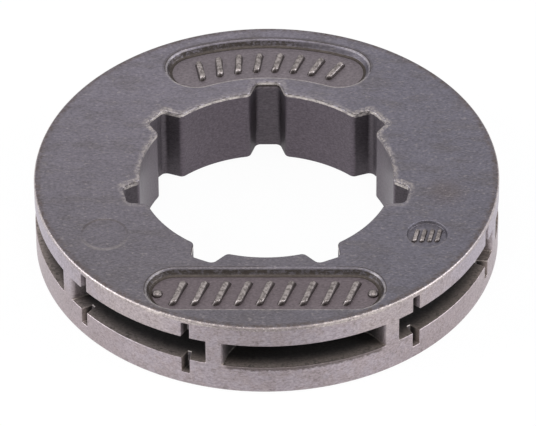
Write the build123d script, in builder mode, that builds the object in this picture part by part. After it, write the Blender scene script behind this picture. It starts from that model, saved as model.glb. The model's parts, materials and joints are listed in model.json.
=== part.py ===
from build123d import *

import os
from math import asin, cos, radians, sin, sqrt, tan

# Rim sprocket that floats on the splined hub of a chainsaw's clutch drum: one steel casting.
# Millimetres, +Z up along the bore, origin at the middle of the bottom face, panels on top.

# Two rims, with a layer of chain pockets between them
rim_diameter = 35.0
lower_rim_height = 2.4
pocket_height = 2.1
upper_rim_height = 1.8
top_edge_radius = 0.2
bottom_edge_chamfer = 0.12

# Chain pockets, between the teeth that join the rims
pocket_count = 8
pocket_turn = 10.0  # degrees from the -Y axis to the middle of the nearest pocket
pocket_corner_radius = 4.4
hub_wall = 2.4  # from the spline grooves to the pockets' floors
tooth_width = 1.4  # at the outside of the rims
tooth_flank_angle = 20.0  # degrees, between a flank and the middle line of its pocket
tooth_tip_radius = 0.2

# Notches in both rims, a pair in every second pocket
notch_width = 0.65
notch_depth = 0.9
notch_reach = 1.35  # up and down, past the pocket
notch_spread = 15.4  # degrees, each side of the pocket's middle

# Bore with spline grooves
bore_diameter = 19.05
bore_chamfer = 0.2
groove_count = 7
groove_depth = 1.35
groove_mouth_width = 2.7
groove_floor_width = 1.8
groove_floor_radius = 0.45

# Two sunk panels on the top face: a straight one in front and a curved one behind
panel_depth = 0.55
panel_draft = 25.0  # degrees, of the panels' walls
straight_panel_bore_margin = 1.25
straight_panel_rim_margin = 2.2
straight_panel_end_margin = 0.65
curved_panel_groove_margin = 0.6
curved_panel_rim_margin = 1.4
curved_panel_sweep = 46.8  # degrees, between the middles of its round ends

# Two shallow round marks on the top face, one each side of the straight panel
mark_rim_margin = 3.65  # from the rim to the middle of a mark
mark_spread = 60.0  # degrees, each side of the -Y axis
pin_mark_diameter = 3.6
pin_mark_depth = 0.08
seal_mark_diameter = 3.05
seal_mark_depth = 0.25

# Places worked out from the sizes above
front = -90.0  # degrees, the -Y side
overrun = 1.0  # how far a cut starts outside the surface that it opens
rim_radius = rim_diameter / 2
bore_radius = bore_diameter / 2
groove_radius = bore_radius + groove_depth
groove_flare = (groove_mouth_width - groove_floor_width) / 2 / groove_depth
groove_inside = bore_radius - overrun
groove_inside_half = groove_mouth_width / 2 + groove_flare * overrun
upper_rim_base = lower_rim_height + pocket_height
thickness = upper_rim_base + upper_rim_height

pocket_step = 360.0 / pocket_count
first_pocket = front + pocket_turn
pocket_floor = groove_radius + hub_wall
flank_slope = tan(radians(tooth_flank_angle))
mouth_angle = radians(pocket_step / 2) - asin(tooth_width / 2 / rim_radius)
mouth_half = rim_radius * sin(mouth_angle)
mouth_reach = rim_radius * cos(mouth_angle)
pocket_outside = rim_radius + overrun
outside_half = mouth_half + flank_slope * (pocket_outside - mouth_reach)
floor_half = mouth_half - flank_slope * (mouth_reach - pocket_floor)
flank_length = (mouth_reach - pocket_floor) / cos(radians(tooth_flank_angle))
corner_share = tan(radians(90 - tooth_flank_angle) / 2)  # of a corner's radius, along the flank
pocket_corner = min(pocket_corner_radius, (flank_length - 2 * tooth_tip_radius) / corner_share)

straight_panel_inside = bore_radius + straight_panel_bore_margin
straight_panel_outside = rim_radius - straight_panel_rim_margin
straight_panel_width = straight_panel_outside - straight_panel_inside
straight_panel_place = (straight_panel_outside + straight_panel_inside) / 2
straight_panel_end_radius = rim_radius - straight_panel_end_margin - straight_panel_width / 2
straight_panel_end = sqrt(straight_panel_end_radius**2 - straight_panel_place**2)
straight_panel_length = 2 * straight_panel_end + straight_panel_width
curved_panel_inside = groove_radius + curved_panel_groove_margin
curved_panel_outside = rim_radius - curved_panel_rim_margin
curved_panel_width = curved_panel_outside - curved_panel_inside
curved_panel_place = (curved_panel_outside + curved_panel_inside) / 2
mark_place = rim_radius - mark_rim_margin

# One pocket, seen from above, on the +X side
with BuildSketch() as pocket:
    with BuildLine():
        Polyline(
            (pocket_outside, outside_half),
            (pocket_floor, floor_half),
            (pocket_floor, -floor_half),
            (pocket_outside, -outside_half),
            close=True,
        )
    make_face()
    fillet(pocket.vertices().group_by(Axis.X)[0], pocket_corner)

# The toothed layer, seen from above
with BuildSketch() as toothed_layer:
    Circle(rim_radius)
    with PolarLocations(0, pocket_count, first_pocket):
        add(pocket.sketch, mode=Mode.SUBTRACT)
    tips = [v for v in toothed_layer.vertices() if Vector(v).length > rim_radius - tooth_tip_radius]
    fillet(tips, tooth_tip_radius)

# One groove of the bore, seen from above, on the +X side
with BuildSketch() as groove:
    with BuildLine():
        Polyline(
            (groove_inside, groove_inside_half),
            (groove_radius, groove_floor_width / 2),
            (groove_radius, -groove_floor_width / 2),
            (groove_inside, -groove_inside_half),
            close=True,
        )
    make_face()
    fillet(groove.vertices().group_by(Axis.X)[-1], groove_floor_radius)

# The bore with its grooves, seen from above
with BuildSketch() as bore_outline:
    Circle(bore_radius)
    with PolarLocations(0, groove_count, -front):
        add(groove.sketch)

with BuildPart() as rim_sprocket:
    # Lower rim, teeth and upper rim
    with BuildSketch():
        Circle(rim_radius)
    extrude(amount=lower_rim_height)
    with BuildSketch(Plane.XY.offset(lower_rim_height)):
        add(toothed_layer.sketch)
    extrude(amount=pocket_height)
    with BuildSketch(Plane.XY.offset(upper_rim_base)):
        Circle(rim_radius)
    extrude(amount=upper_rim_height)
    fillet(rim_sprocket.edges().sort_by(Axis.Z)[-1], top_edge_radius)
    chamfer(rim_sprocket.edges().sort_by(Axis.Z)[0], bottom_edge_chamfer)

    # Splined bore
    with BuildSketch():
        add(bore_outline.sketch)
    extrude(amount=thickness, mode=Mode.SUBTRACT)
    bore_edges = rim_sprocket.edges(Select.LAST)
    chamfer(bore_edges.group_by(Axis.Z)[-1] + bore_edges.group_by(Axis.Z)[0], bore_chamfer)

    # Notches
    with BuildSketch(Plane.XY.offset(lower_rim_height - notch_reach)):
        for side in (-notch_spread, notch_spread):
            with PolarLocations(rim_radius - notch_depth, pocket_count // 2, first_pocket + pocket_step + side):
                SlotOverall(2 * (notch_depth + overrun), notch_width, align=(Align.MIN, Align.CENTER))
    extrude(amount=pocket_height + 2 * notch_reach, mode=Mode.SUBTRACT)

    # Panels
    with BuildSketch(Plane.XY.offset(thickness)):
        with Locations((0, -straight_panel_place)):
            SlotOverall(straight_panel_length, straight_panel_width)
        middle_line = CenterArc(
            (0, 0), curved_panel_place, -front - curved_panel_sweep / 2, curved_panel_sweep, mode=Mode.PRIVATE
        )
        SlotArc(middle_line, curved_panel_width)
    extrude(amount=-panel_depth, taper=panel_draft, mode=Mode.SUBTRACT)

    # Round marks
    for side, diameter, depth in (
        (-mark_spread, pin_mark_diameter, pin_mark_depth),
        (mark_spread, seal_mark_diameter, seal_mark_depth),
    ):
        with BuildSketch(Plane.XY.offset(thickness)):
            with PolarLocations(mark_place, 1, front + side):
                Circle(diameter / 2)
        extrude(amount=-depth, mode=Mode.SUBTRACT)

rim_sprocket.part.label = "rim_sprocket"

os.makedirs("parts", exist_ok=True)
export_step(rim_sprocket.part, "parts/rim_sprocket.step")
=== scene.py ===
"""Rim sprocket of a chainsaw: the casting with its edges bright from wear and painted highlight, the relief
in its panels, and the studio.
"""

import json
import logging
import math
from collections.abc import Callable, Iterator
from contextlib import contextmanager
from dataclasses import dataclass, field
from enum import Enum

import bmesh
import bpy
from mathutils import Matrix, Vector


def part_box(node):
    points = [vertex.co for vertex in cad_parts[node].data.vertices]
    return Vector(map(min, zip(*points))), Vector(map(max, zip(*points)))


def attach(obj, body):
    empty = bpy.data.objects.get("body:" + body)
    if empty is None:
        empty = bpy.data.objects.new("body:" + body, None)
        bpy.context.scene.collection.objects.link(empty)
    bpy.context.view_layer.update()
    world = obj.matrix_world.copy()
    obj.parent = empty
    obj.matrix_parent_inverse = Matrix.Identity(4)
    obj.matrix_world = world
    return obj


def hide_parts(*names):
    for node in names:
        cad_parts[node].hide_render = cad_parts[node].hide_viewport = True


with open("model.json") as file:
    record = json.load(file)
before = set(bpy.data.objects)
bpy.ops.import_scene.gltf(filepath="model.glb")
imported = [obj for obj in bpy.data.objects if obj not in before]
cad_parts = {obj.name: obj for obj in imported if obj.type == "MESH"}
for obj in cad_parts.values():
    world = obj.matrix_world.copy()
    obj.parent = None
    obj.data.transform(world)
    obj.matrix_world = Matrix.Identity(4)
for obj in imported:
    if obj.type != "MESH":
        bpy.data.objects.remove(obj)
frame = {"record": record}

MM = 0.001  # a millimetre, in metres
NEAR = 0.02  # millimetres within which two places count as one
MERGE = 0.0005  # millimetres within which two vertices become one
SLIVER = 0.002  # millimetres under which an edge is dissolved
OVERRUN = 1.0  # millimetres that a cutter reaches past the surface that it opens
ROUNDED_SLOT = 1  # material of the rounded edges, while the casting is made
log = logging.getLogger("rim_sprocket")

Test = Callable[[Vector], bool]
Triple = tuple[float, float, float]
Colour = Triple
Socket = bpy.types.NodeSocket
Value = Socket | float | Colour


class Axis(Enum):
    """Axes of the row frame that the tools cut across or turn about."""

    X = (1.0, 0.0, 0.0)
    Z = (0.0, 0.0, 1.0)


class Rounding(Enum):
    """Kinds of edges: how far each is rounded, in millimetres, and how bright it is from wear and painted
    highlight, or, under 0, how dark from dirt and painted shade.
    """

    RIM_TOP = (0.2, 0.0)
    RIM_FOOT = (0.12, 0.3)
    BORE = (0.12, 0.0)
    BORE_CORNER = (0.26, 0.0)
    PANEL_LIP = (0.16, -0.22)
    PANEL_END_LIP = (0.0, 0.26)
    PANEL_BROW = (0.0, -0.6)
    PANEL_NEAR_LIP = (0.0, 0.3)
    PANEL_FLOOR = (0.2, -0.95)
    POCKET_MOUTH = (0.05, 0.2)
    POCKET_INSIDE = (0.07, 0.3)
    NOTCH_END = (0.1, 0.0)
    NOTCH_TIP = (0.071, 0.85)
    MARK_LIP = (0.045, 0.0)
    MARK_FLOOR = (0.04, 0.0)

    @property
    def width(self) -> float:
        """How far the edge is rounded."""
        return self.value[0]

    @property
    def shine(self) -> float:
        """How bright the edge is from wear and painted highlight, up to 1, or how dark from dirt and painted
        shade, down to -1.
        """
        return self.value[1]


@dataclass
class Workpiece:
    """One mesh under the tools, in millimetres until it is finished.

    The bevel tool loses lengths under a tenth of a millimetre when they are given in metres.
    """

    obj: bpy.types.Object

    @classmethod
    def _fresh(cls, name: str) -> "Workpiece":
        """Names the primitive that was added last and puts its place into its mesh.

        Args:
            name: The new name.

        Returns:
            The primitive as a workpiece.
        """
        piece = cls(bpy.context.object)
        piece.obj.name = name
        piece.obj.data.name = name
        bpy.ops.object.transform_apply(location=True, rotation=True, scale=True)
        return piece

    @classmethod
    def round_bar(
        cls, name: str, sides: int, foot: float, head: float, low: float, high: float
    ) -> "Workpiece":
        """Adds an upright cylinder or cone on the Z axis.

        Args:
            name: The new object's name.
            sides: Number of sides.
            foot: Radius at the lower end.
            head: Radius at the upper end.
            low: Height of the lower end.
            high: Height of the upper end.

        Returns:
            The new workpiece.
        """
        bpy.ops.object.select_all(action="DESELECT")
        bpy.ops.mesh.primitive_cone_add(
            vertices=sides, radius1=foot, radius2=head, depth=high - low, location=(0, 0, (low + high) / 2)
        )
        return cls._fresh(name)

    @classmethod
    def plate(cls, name: str, height: float) -> "Workpiece":
        """Adds a level square with corners one millimetre out along X and Y.

        Args:
            name: The new object's name.
            height: Height of the square.

        Returns:
            The new workpiece.
        """
        bpy.ops.object.select_all(action="DESELECT")
        bpy.ops.mesh.primitive_plane_add(size=2.0, location=(0, 0, height))
        return cls._fresh(name)

    @classmethod
    def ball(cls, name: str, radius: float) -> "Workpiece":
        """Adds a ball at the origin.

        Args:
            name: The new object's name.
            radius: Radius of the ball.

        Returns:
            The new workpiece.
        """
        bpy.ops.object.select_all(action="DESELECT")
        bpy.ops.mesh.primitive_uv_sphere_add(segments=32, ring_count=16, radius=radius)
        return cls._fresh(name)

    def hold(self) -> None:
        """Makes this the only selected and the active object."""
        bpy.ops.object.select_all(action="DESELECT")
        self.obj.select_set(True)
        bpy.context.view_layer.objects.active = self.obj

    @contextmanager
    def edit(self, mode: str = "VERT") -> Iterator[None]:
        """Opens the mesh in edit mode with nothing selected, and closes it again.

        Args:
            mode: What a selection is made of: VERT, EDGE or FACE.

        Returns:
            A context for a with statement.
        """
        self.hold()
        bpy.ops.object.mode_set(mode="EDIT")
        bpy.ops.mesh.select_mode(type=mode)
        bpy.ops.mesh.select_all(action="DESELECT")
        try:
            yield
        finally:
            bpy.ops.object.mode_set(mode="OBJECT")

    def pick_all(self) -> None:
        """Selects the whole mesh."""
        bpy.ops.mesh.select_all(action="SELECT")

    def pick(self, test: Test) -> None:
        """Selects the vertices that pass the test, with the edges and faces between them.

        Args:
            test: Says of a vertex's place whether it is picked.
        """
        mesh = bmesh.from_edit_mesh(self.obj.data)
        for vertex in mesh.verts:
            vertex.select_set(test(vertex.co))
        mesh.select_mode = {"VERT"}
        mesh.select_flush_mode()
        bmesh.update_edit_mesh(self.obj.data)

    def place_side(self, side: int, x: float, half: float) -> None:
        """Moves one side of a fresh plate along X and sets its half width along Y.

        Args:
            side: -1 for the side towards -X, 1 for the other one.
            x: Where the side goes.
            half: New half width, from a half width of one.
        """
        self.pick(lambda v: v.x * side > 0)
        bpy.ops.transform.translate(value=(x - side, 0, 0))
        bpy.ops.transform.resize(value=(1, half, 1), center_override=(0, 0, 0))

    def round_corners(self, test: Test, reach: float, segments: int) -> None:
        """Rounds the picked corners of a flat outline.

        Args:
            test: Picks the corners.
            reach: Way from the corner to where its rounding starts.
            segments: Number of segments of the rounding.
        """
        self.pick(test)
        bpy.ops.mesh.bevel(offset=reach, segments=segments, affect="VERTICES", clamp_overlap=True)

    def stand_up(self, height: float) -> None:
        """Gives a flat outline its height, upwards.

        Args:
            height: The height.
        """
        self.pick_all()
        bpy.ops.mesh.extrude_region_move(TRANSFORM_OT_translate={"value": (0, 0, height)})
        self.face_outwards()

    def face_outwards(self) -> None:
        """Merges doubles and turns every face outwards."""
        self.pick_all()
        bpy.ops.mesh.remove_doubles(threshold=MERGE)
        bpy.ops.mesh.normals_make_consistent(inside=False)

    def copy_round(self, copies: int, step: float) -> None:
        """Copies the whole mesh round the Z axis.

        Args:
            copies: How many there are at the end, with the first.
            step: Degrees from one to the next.
        """
        with self.edit():
            self.pick_all()
            bpy.ops.mesh.spin(
                steps=copies - 1, dupli=True, angle=math.radians(step) * (copies - 1),
                center=(0, 0, 0), axis=Axis.Z.value,
            )
            self.pick_all()
            bpy.ops.mesh.normals_make_consistent(inside=False)

    def shift(self, x: float = 0.0, y: float = 0.0, z: float = 0.0) -> None:
        """Moves the whole mesh."""
        self.obj.data.transform(Matrix.Translation((x, y, z)))

    def turn(self, degrees: float) -> None:
        """Turns the whole mesh about the Z axis."""
        self.obj.data.transform(Matrix.Rotation(math.radians(degrees), 4, Vector(Axis.Z.value)))

    def apply(self, modifier: str) -> None:
        """Applies one modifier."""
        self.hold()
        bpy.ops.object.modifier_apply(modifier=modifier)

    def cut(self, cutter: "Workpiece") -> None:
        """Takes the cutter's shape out of this piece, and the cutter off the bench.

        Args:
            cutter: The piece that is used up.
        """
        tool = self.obj.modifiers.new("cut", "BOOLEAN")
        tool.operation = "DIFFERENCE"
        tool.solver = "EXACT"
        tool.object = cutter.obj
        self.apply("cut")
        bpy.data.objects.remove(cutter.obj)

    def join(self, other: "Workpiece") -> None:
        """Takes another piece's mesh into this one.

        Args:
            other: The piece that is used up.
        """
        self.hold()
        other.obj.select_set(True)
        bpy.ops.object.join()

    def finish(self, smooth_under: float = 35.0) -> None:
        """Shades the piece, keeps its flat faces flat and brings it to metres.

        Args:
            smooth_under: Degrees between two faces, under which their edge is shaded smooth.
        """
        self.hold()
        bpy.ops.object.shade_smooth_by_angle(angle=math.radians(smooth_under))
        flat = self.obj.modifiers.new("flat_faces", "WEIGHTED_NORMAL")
        flat.keep_sharp = True
        self.apply("flat_faces")
        self.obj.scale = (MM, MM, MM)
        self.hold()
        bpy.ops.object.transform_apply(location=True, rotation=True, scale=True)


@dataclass(frozen=True)
class RoundMark:
    """A shallow round mark of the top face, in millimetres.

    Its side is -1 towards -X and 1 towards +X, and its flare is how far its wall leans out to its height.
    """

    side: int
    radius: float
    depth: float
    flare: float


@dataclass
class RimCasting:
    """The casting itself: two rims with chain pockets between them, round a splined bore.

    Sizes are in millimetres. The rims' size comes from the CAD node and the bore's from its mount.
    """

    rim_radius: float
    thickness: float
    bore_radius: float
    lower_rim: float = 2.4
    pocket_height: float = 2.1
    pocket_count: int = 8
    first_pocket: float = -80.0
    pocket_floor: float = 13.275
    pocket_corner: float = 4.4
    tooth_width: float = 1.4
    tooth_flank: float = 20.0
    tooth_tip: float = 0.2
    tip_reach: float = 0.16
    tip_flare: float = 1.5
    notch_width: float = 0.65
    notch_tip: float = 0.26
    notch_depth: float = 0.9
    notch_reach: float = 1.35
    notch_spread: float = 15.4
    groove_count: int = 7
    groove_depth: float = 1.35
    groove_mouth: float = 2.7
    groove_floor: float = 1.8
    groove_corner: float = 0.45
    panel_depth: float = 0.55
    panel_draft: float = 25.0
    front_panel_inside: float = 10.775
    front_panel_outside: float = 15.3
    front_panel_end: float = 6.54
    rear_panel_inside: float = 11.475
    rear_panel_outside: float = 16.1
    rear_panel_sweep: float = 46.8
    mark_place: float = 13.85
    mark_spread: float = 60.0
    pin_mark: RoundMark = RoundMark(-1, 1.8, 0.08, 2.2)
    seal_mark: RoundMark = RoundMark(1, 1.525, 0.25, 0.4)
    front_lip_ends: tuple[float, float] = (6.8, 7.9)
    rear_lip_ends: tuple[float, float] = (4.5, 6.5)
    rim_sides: int = 360
    bore_sides: int = 140
    pit_sides: int = 72
    mark_sides: int = 64
    rear_panel_steps: int = 28
    work: Workpiece = field(init=False)

    @property
    def groove_radius(self) -> float:
        """Radius of the grooves' floors."""
        return self.bore_radius + self.groove_depth

    @property
    def pocket_top(self) -> float:
        """Height of the upper rim's underside."""
        return self.lower_rim + self.pocket_height

    @property
    def rear_panel_middle(self) -> float:
        """Radius of the curved panel's middle line."""
        return (self.rear_panel_outside + self.rear_panel_inside) / 2

    @property
    def front_pocket(self) -> Triple:
        """Middle of the front pocket's mouth on the ground."""
        turn = math.radians(self.first_pocket)
        return (self.rim_radius * math.cos(turn), self.rim_radius * math.sin(turn), 0.0)

    def mark_middle(self, mark: RoundMark) -> Triple:
        """Gives the place of a round mark on the ground.

        Args:
            mark: The mark.

        Returns:
            Its middle.
        """
        turn = math.radians(mark.side * self.mark_spread)
        return (self.mark_place * math.sin(turn), -self.mark_place * math.cos(turn), 0.0)

    def build(self) -> bpy.types.Object:
        """Turns the blank, makes every cut and rounds the edges.

        Returns:
            The finished casting, in metres.
        """
        self.work = Workpiece.round_bar(
            "sprocket_casting", self.rim_sides, self.rim_radius, self.rim_radius, 0.0, self.thickness
        )
        for make_cutter in (
            self.bore_cutter, self.groove_cutter, self.pocket_cutter,
            self.notch_cutter, self.front_panel_cutter, self.rear_panel_cutter,
        ):
            self.work.cut(make_cutter())
        for mark in (self.pin_mark, self.seal_mark):
            self.work.cut(self.mark_cutter(mark))
        with self.work.edit():
            self.work.pick_all()
            bpy.ops.mesh.remove_doubles(threshold=NEAR)
        for name in ("cast", "rubbed"):
            self.work.obj.data.materials.append(bpy.data.materials.new(name))
        self.round_edges({Rounding.BORE_CORNER})
        self.round_edges(set(Rounding) - {Rounding.BORE_CORNER})
        self.mark_rubbed_and_highlit()
        self.work.finish()
        return self.work.obj

    def bore_cutter(self) -> Workpiece:
        """Makes the round core of the bore."""
        radius, high = self.bore_radius, self.thickness + OVERRUN
        return Workpiece.round_bar("bore_cutter", self.bore_sides, radius, radius, -OVERRUN, high)

    def groove_cutter(self) -> Workpiece:
        """Makes the spline grooves: one outline with rounded floor corners, stood up and copied round.

        Returns:
            The cutter for all the grooves.
        """
        flare = (self.groove_mouth - self.groove_floor) / 2 / self.groove_depth
        corner = self.groove_corner * math.tan(math.radians(45) - math.atan(flare) / 2)
        cutter = Workpiece.plate("groove_cutter", -OVERRUN)
        with cutter.edit():
            cutter.place_side(1, self.groove_radius, self.groove_floor / 2)
            cutter.place_side(-1, self.bore_radius - OVERRUN, self.groove_mouth / 2 + flare * OVERRUN)
            cutter.round_corners(lambda v: v.x > self.groove_radius - NEAR, corner, segments=5)
            cutter.stand_up(self.thickness + 2 * OVERRUN)
        cutter.turn(90.0)
        cutter.copy_round(self.groove_count, 360.0 / self.groove_count)
        return cutter

    def pocket_cutter(self) -> Workpiece:
        """Makes the chain pockets: one outline with wide corners and flared sides, stood up and copied round.

        Returns:
            The cutter for all the pockets.
        """
        slope = math.tan(math.radians(self.tooth_flank))
        mouth = math.radians(180.0 / self.pocket_count) - math.asin(self.tooth_width / 2 / self.rim_radius)
        tip = self.rim_radius * math.cos(mouth) - self.tooth_tip
        tip_half = self.rim_radius * math.sin(mouth) - slope * self.tooth_tip
        floor_half = tip_half - slope * (tip - self.pocket_floor)
        past_tip = self.rim_radius + OVERRUN - tip
        widening = (tip_half + self.tip_flare * past_tip) / tip_half
        corner = self.pocket_corner * math.tan(math.radians(90 - self.tooth_flank) / 2)
        cutter = Workpiece.plate("pocket_cutter", self.lower_rim)
        with cutter.edit():
            cutter.place_side(1, tip, tip_half)
            cutter.place_side(-1, self.pocket_floor, floor_half)
            cutter.pick(lambda v: v.x > tip - NEAR)
            bpy.ops.mesh.extrude_region_move(TRANSFORM_OT_translate={"value": (past_tip, 0, 0)})
            bpy.ops.transform.resize(value=(1, widening, 1), center_override=(0, 0, 0))
            cutter.pick_all()
            bpy.ops.mesh.dissolve_limited(angle_limit=0.01)
            cutter.round_corners(lambda v: abs(v.x - tip) < NEAR, self.tip_reach, segments=4)
            cutter.round_corners(lambda v: abs(v.x - self.pocket_floor) < NEAR, corner, segments=20)
            cutter.stand_up(self.pocket_height)
        cutter.turn(self.first_pocket)
        cutter.copy_round(self.pocket_count, 360.0 / self.pocket_count)
        return cutter

    def notch_cutter(self) -> Workpiece:
        """Makes the notches: one outline that narrows inwards, copied beside every second pocket.

        Returns:
            The cutter for all the notches.
        """
        taper = (self.notch_width - self.notch_tip) / 2 / self.notch_depth
        cutter = Workpiece.plate("notch_cutter", self.lower_rim - self.notch_reach)
        with cutter.edit():
            cutter.place_side(1, self.rim_radius + OVERRUN, self.notch_width / 2 + taper * OVERRUN)
            cutter.place_side(-1, self.rim_radius - self.notch_depth, self.notch_tip / 2)
            cutter.stand_up(self.pocket_height + 2 * self.notch_reach)
        cutter.turn(self.first_pocket + 360.0 / self.pocket_count + self.notch_spread)
        cutter.copy_round(2, 2 * self.notch_spread)
        cutter.copy_round(self.pocket_count // 2, 720.0 / self.pocket_count)
        return cutter

    @staticmethod
    def halve(cutter: Workpiece) -> None:
        """Keeps the -X half of a workpiece and closes it.

        Args:
            cutter: The workpiece.
        """
        with cutter.edit():
            cutter.pick_all()
            bpy.ops.mesh.bisect(plane_co=(0, 0, 0), plane_no=Axis.X.value, use_fill=True, clear_outer=True)

    def panel_end(self, name: str, width: float) -> Workpiece:
        """Makes half of a round pit with sloping walls, its open side towards +X.

        Args:
            name: The new object's name.
            width: Width of the panel at the top face.

        Returns:
            The half pit, with its middle on the Z axis.
        """
        slope = math.tan(math.radians(self.panel_draft))
        floor = width / 2 - slope * self.panel_depth
        head = width / 2 + slope * OVERRUN
        low = self.thickness - self.panel_depth
        pit = Workpiece.round_bar(name, self.pit_sides, floor, head, low, self.thickness + OVERRUN)
        self.halve(pit)
        return pit

    @staticmethod
    def mirror_over(cutter: Workpiece) -> None:
        """Opens the end that lies on the YZ plane and mirrors the rest over to +X.

        Args:
            cutter: The workpiece, all of it on the -X side.
        """
        with cutter.edit():
            cutter.pick(lambda v: abs(v.x) < NEAR / 4)
            bpy.ops.mesh.delete(type="ONLY_FACE")
            cutter.pick_all()
            bpy.ops.mesh.symmetrize(direction="NEGATIVE_X", threshold=NEAR / 4)
            cutter.face_outwards()

    def front_panel_cutter(self) -> Workpiece:
        """Makes the straight panel in front: a half pit drawn out to the middle, and mirrored.

        Returns:
            The cutter.
        """
        cutter = self.panel_end("front_panel_cutter", self.front_panel_outside - self.front_panel_inside)
        with cutter.edit():
            cutter.pick(lambda v: v.x > -NEAR / 10)
            bpy.ops.mesh.extrude_region_move(TRANSFORM_OT_translate={"value": (self.front_panel_end, 0, 0)})
        cutter.shift(x=-self.front_panel_end, y=-(self.front_panel_outside + self.front_panel_inside) / 2)
        self.mirror_over(cutter)
        return cutter

    def rear_panel_cutter(self) -> Workpiece:
        """Makes the curved panel behind: a half pit spun to the middle, and mirrored.

        Returns:
            The cutter.
        """
        cutter = self.panel_end("rear_panel_cutter", self.rear_panel_outside - self.rear_panel_inside)
        cutter.shift(y=self.rear_panel_middle)
        cutter.turn(self.rear_panel_sweep / 2)
        middle = math.radians(90 + self.rear_panel_sweep / 2)
        face = Vector((math.sin(middle), -math.cos(middle), 0))
        with cutter.edit():
            cutter.pick(lambda v: abs(v.dot(face)) < NEAR / 10)
            bpy.ops.mesh.spin(
                steps=self.rear_panel_steps, angle=math.radians(self.rear_panel_sweep / 2),
                center=(0, 0, 0), axis=Axis.Z.value,
            )
            cutter.pick_all()
            bpy.ops.mesh.remove_doubles(threshold=MERGE)
        self.mirror_over(cutter)
        return cutter

    def mark_cutter(self, mark: RoundMark) -> Workpiece:
        """Makes a shallow round mark of the top face.

        Args:
            mark: The mark.

        Returns:
            The cutter.
        """
        foot, head = mark.radius - mark.flare * mark.depth, mark.radius + mark.flare * OVERRUN
        low, high = self.thickness - mark.depth, self.thickness + OVERRUN
        cutter = Workpiece.round_bar("mark_cutter", self.mark_sides, foot, head, low, high)
        cutter.shift(y=-self.mark_place)
        cutter.turn(mark.side * self.mark_spread)
        return cutter

    def rounding_of(self, place: Vector, upright: bool, slack: float = NEAR) -> Rounding:
        """Tells what kind of edge lies at a place.

        Args:
            place: Middle of the edge.
            upright: Whether the edge stands up.
            slack: How far the place may lie from the edge's own height.

        Returns:
            Its kind.
        """
        past_grooves, rim_band, mark_turn = 0.2, 0.4, 10.0
        radius = math.hypot(place.x, place.y)
        by_bore = radius < self.groove_radius + past_grooves
        if by_bore and place.y > -self.groove_radius + past_grooves:
            return Rounding.BORE_CORNER if upright else Rounding.BORE
        if place.z < slack:
            return Rounding.RIM_FOOT
        off_front = abs(math.degrees(math.atan2(place.x, -place.y)))
        by_mark = abs(off_front - self.mark_spread) < mark_turn
        if place.z > self.thickness - slack:
            if radius > self.rim_radius - rim_band:
                return Rounding.RIM_TOP
            return Rounding.MARK_LIP if by_mark else Rounding.PANEL_LIP
        off_floor = abs(place.z - self.thickness + self.panel_depth)
        if off_floor < slack and radius < self.rim_radius - self.notch_depth + NEAR:
            return Rounding.PANEL_FLOOR
        notch_top = self.pocket_top + self.notch_reach
        if place.z > notch_top + NEAR:
            return Rounding.MARK_FLOOR if by_mark else Rounding.PANEL_LIP
        if radius > self.rim_radius - 2 * NEAR:
            return Rounding.POCKET_MOUTH
        if abs(place.z - notch_top) < slack:
            return Rounding.NOTCH_END
        at_tip = abs(place.z - self.lower_rim) < slack and self.at_notch_tip(place)
        return Rounding.NOTCH_TIP if at_tip else Rounding.POCKET_INSIDE

    def at_notch_tip(self, place: Vector) -> bool:
        """Tells whether a place lies at the narrow end of a notch.

        Args:
            place: The place.

        Returns:
            Whether it does, seen from above.
        """
        turn_slack, way_slack = 1.3, 0.2
        step = 720.0 / self.pocket_count
        turn = math.degrees(math.atan2(place.y, place.x)) - self.first_pocket - step / 2
        off_pocket = abs((turn + step / 2) % step - step / 2)
        inside = math.hypot(place.x, place.y) - self.rim_radius + self.notch_depth
        return abs(off_pocket - self.notch_spread) < turn_slack and abs(inside) < way_slack

    def round_edges(self, kinds: set[Rounding]) -> None:
        """Rounds the sharp edges of some kinds; the new faces take material 1.

        Args:
            kinds: The kinds that are rounded.
        """
        sharp, steep = math.radians(20), 0.5
        mesh = self.work.obj.data
        widest = max(kind.width for kind in kinds)
        shape = bmesh.new()
        shape.from_mesh(mesh)
        layers = shape.edges.layers.float
        weight = layers.get("bevel_weight_edge") or layers.new("bevel_weight_edge")
        for edge in shape.edges:
            edge[weight] = 0.0
            if len(edge.link_faces) == 2 and edge.calc_face_angle() > sharp:
                a, b = (vertex.co for vertex in edge.verts)
                kind = self.rounding_of((a + b) / 2, abs(a.z - b.z) > steep * (a - b).length)
                edge[weight] = kind.width / widest if kind in kinds else 0.0
        shape.to_mesh(mesh)
        shape.free()
        bevel = self.work.obj.modifiers.new("rounding", "BEVEL")
        bevel.limit_method = "WEIGHT"
        bevel.width = widest
        bevel.segments = 4 if kinds == {Rounding.BORE_CORNER} else 3
        bevel.use_clamp_overlap = False
        bevel.loop_slide = False
        bevel.material = ROUNDED_SLOT
        self.work.apply("rounding")

    def lip_shine(self, lip: bpy.types.MeshPolygon) -> float:
        """Gives the shine of a face of a panel's lip, as painted light: shade on its brow, on its lower faces
        and in the middle of the panel, and a highlight on the near lip and towards the panel's ends.

        Args:
            lip: The face.

        Returns:
            Its shine, from -1 to 1.
        """
        near_side, level = 0.05, 0.93
        if lip.normal.y > near_side:
            return Rounding.PANEL_NEAR_LIP.shine
        if lip.normal.z > level:
            return Rounding.PANEL_BROW.shine
        if lip.center.z < self.thickness - self.panel_depth / 2:
            return Rounding.PANEL_LIP.shine
        start, end = self.front_lip_ends if lip.center.y < 0 else self.rear_lip_ends
        share = min(max((abs(lip.center.x) - start) / (end - start), 0.0), 1.0)
        return Rounding.PANEL_LIP.shine + share * (Rounding.PANEL_END_LIP.shine - Rounding.PANEL_LIP.shine)

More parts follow.
